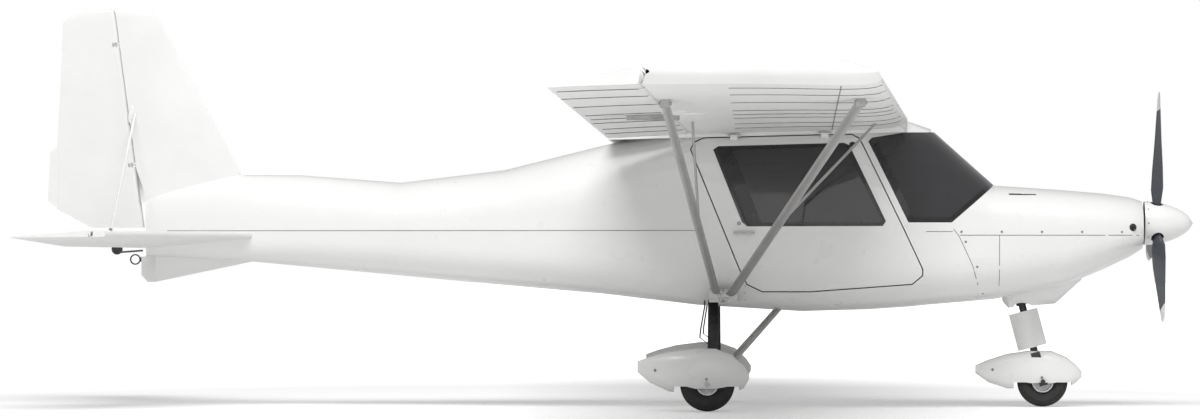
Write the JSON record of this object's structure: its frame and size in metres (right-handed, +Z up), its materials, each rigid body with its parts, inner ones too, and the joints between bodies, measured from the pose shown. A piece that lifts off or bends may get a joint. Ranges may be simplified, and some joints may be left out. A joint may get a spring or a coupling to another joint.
{
  "type": "microlight aircraft",
  "caption": "High-wing strut-braced microlight aeroplane on a spatted nosewheel gear, with turning propeller and wheels, steering, lifting doors and hinged control surfaces.",
  "frame": {"origin": "on the ground, midway between the spinner's tip and the elevators' trailing edges, on the centre line", "axes": "+X forward along the propeller's axis, +Y to port along the span, +Z up"},
  "size_m": [6.2, 9.45, 2.15],
  "materials": {
    "white_gelcoat": "gloss",
    "white_fabric": "satin",
    "tinted_glazing": "gloss",
    "grey_strut": "satin",
    "black_steel": "satin",
    "tyre_rubber": "matte",
    "wheel_alloy": "satin",
    "cabin_trim": "matte",
    "seat_cloth": "matte",
    "engine_metal": "satin",
    "blade_composite": "satin",
    "bare_metal": "brushed"
  },
  "bodies": {
    "airframe": {"rear_fuselage_lower": "white_gelcoat", "rear_fuselage_upper": "white_gelcoat", "cabin_shell": "white_gelcoat", "cabin_roof": "white_gelcoat", "firewall": "bare_metal", "upper_cowl": "white_gelcoat", "lower_cowl": "white_gelcoat", "chin_fairing": "white_gelcoat", "engine_block": "engine_metal", "windscreen": "tinted_glazing", "instrument_panel": "cabin_trim", "seat_left": "seat_cloth", "seat_right": "seat_cloth", "control_stick": "cabin_trim", "rudder_pedals": "bare_metal", "wing_left": "white_fabric", "wing_right": "white_fabric", "wing_struts_left": "grey_strut", "wing_struts_right": "grey_strut", "jury_struts": "grey_strut", "wing_fittings": "bare_metal", "fin": "white_fabric", "tailplane": "white_fabric", "tail_struts": "white_gelcoat", "ventral_fin": "white_gelcoat", "tie_down_eye": "black_steel", "main_leg_left": "black_steel", "main_leg_right": "black_steel", "drag_struts": "grey_strut", "main_axles": "bare_metal", "main_pant_left": "white_gelcoat", "main_pant_right": "white_gelcoat", "nose_leg_socket": "black_steel", "brake_lines": "black_steel"},
    "rudder": {"rudder": "white_fabric", "rudder_trim_tab": "white_gelcoat"},
    "elevator_left": {"elevator_left": "white_fabric"},
    "elevator_right": {"elevator_right": "white_fabric"},
    "aileron_left": {"aileron_left": "white_fabric"},
    "aileron_right": {"aileron_right": "white_fabric"},
    "flap_left": {"flap_left": "white_fabric"},
    "flap_right": {"flap_right": "white_fabric"},
    "door_left": {"door_left": "white_gelcoat", "door_window_left": "tinted_glazing", "door_handle_left": "bare_metal"},
    "door_right": {"door_right": "white_gelcoat", "door_window_right": "tinted_glazing", "door_handle_right": "bare_metal"},
    "nose_gear": {"nose_fork": "black_steel", "nose_leg_fairing": "white_gelcoat", "nose_pant": "white_gelcoat"},
    "nose_wheel": {"nose_rim": "wheel_alloy", "nose_tyre": "tyre_rubber"},
    "main_wheel_left": {"main_rim_left": "wheel_alloy", "main_tyre_left": "tyre_rubber"},
    "main_wheel_right": {"main_rim_right": "wheel_alloy", "main_tyre_right": "tyre_rubber"},
    "propeller": {"propeller_hub": "bare_metal", "propeller_blades": "blade_composite", "spinner": "white_gelcoat"}
  },
  "joints": [
    {"name": "rudder_swing", "type": "hinge", "parent": "airframe", "child": "rudder", "pos_m": [-2.6535, 0, 1.554], "axis": [-0.1331, 0, 0.9911], "range_deg": [-25, 25]},
    {"name": "elevator_left_tilt", "type": "hinge", "parent": "airframe", "child": "elevator_left", "pos_m": [-2.6375, 0.645, 0.899], "axis": [-0.0864, 0.9953, 0.0444], "range_deg": [-20, 25]},
    {"name": "elevator_right_tilt", "type": "hinge", "parent": "airframe", "child": "elevator_right", "pos_m": [-2.6375, -0.645, 0.899], "axis": [0.0864, 0.9953, -0.0444], "range_deg": [-20, 25]},
    {"name": "aileron_left_tilt", "type": "hinge", "parent": "airframe", "child": "aileron_left", "pos_m": [0.27706, 3.558, 1.59012], "axis": [-0.0359, 0.9989, 0.0301], "range_deg": [-18, 18]},
    {"name": "aileron_right_tilt", "type": "hinge", "parent": "airframe", "child": "aileron_right", "pos_m": [0.27706, -3.558, 1.59012], "axis": [0.0359, 0.9989, -0.0301], "range_deg": [-18, 18]},
    {"name": "flap_left_tilt", "type": "hinge", "parent": "airframe", "child": "flap_left", "pos_m": [0.35177, 1.48, 1.52757], "axis": [0.0359, -0.9989, -0.0301], "range_deg": [0, 35]},
    {"name": "flap_right_tilt", "type": "hinge", "parent": "airframe", "child": "flap_right", "pos_m": [0.35177, -1.48, 1.52757], "axis": [-0.0359, -0.9989, 0.0301], "range_deg": [0, 35]},
    {"name": "door_left_lift", "type": "hinge", "parent": "airframe", "child": "door_left", "pos_m": [0.88, 0.534, 1.45112], "axis": [0.9997, 0, 0.0244], "range_deg": [0, 70]},
    {"name": "door_right_lift", "type": "hinge", "parent": "airframe", "child": "door_right", "pos_m": [0.88, -0.534, 1.45112], "axis": [-0.9997, 0, -0.0244], "range_deg": [0, 70]},
    {"name": "nose_steer", "type": "hinge", "parent": "airframe", "child": "nose_gear", "pos_m": [2.293, 0, 0.135], "axis": [-0.2554, 0, 0.9668], "range_deg": [-20, 20]},
    {"name": "nose_wheel_spin", "type": "hinge", "parent": "nose_gear", "child": "nose_wheel", "pos_m": [2.293, 0, 0.135], "axis": [0, 1, 0], "continuous": true},
    {"name": "main_wheel_left_spin", "type": "hinge", "parent": "airframe", "child": "main_wheel_left", "pos_m": [0.505, 0.88, 0.142], "axis": [0, 1, 0], "continuous": true},
    {"name": "main_wheel_right_spin", "type": "hinge", "parent": "airframe", "child": "main_wheel_right", "pos_m": [0.505, -0.88, 0.142], "axis": [0, 1, 0], "continuous": true},
    {"name": "propeller_spin", "type": "hinge", "parent": "airframe", "child": "propeller", "pos_m": [2.905, 0, 0.985], "axis": [1, 0, 0], "continuous": true}
  ],
  "couplings": [
    {"joint": "elevator_right_tilt", "follows": "elevator_left_tilt", "ratio": 1},
    {"joint": "aileron_right_tilt", "follows": "aileron_left_tilt", "ratio": -1},
    {"joint": "flap_right_tilt", "follows": "flap_left_tilt", "ratio": 1}
  ]
}
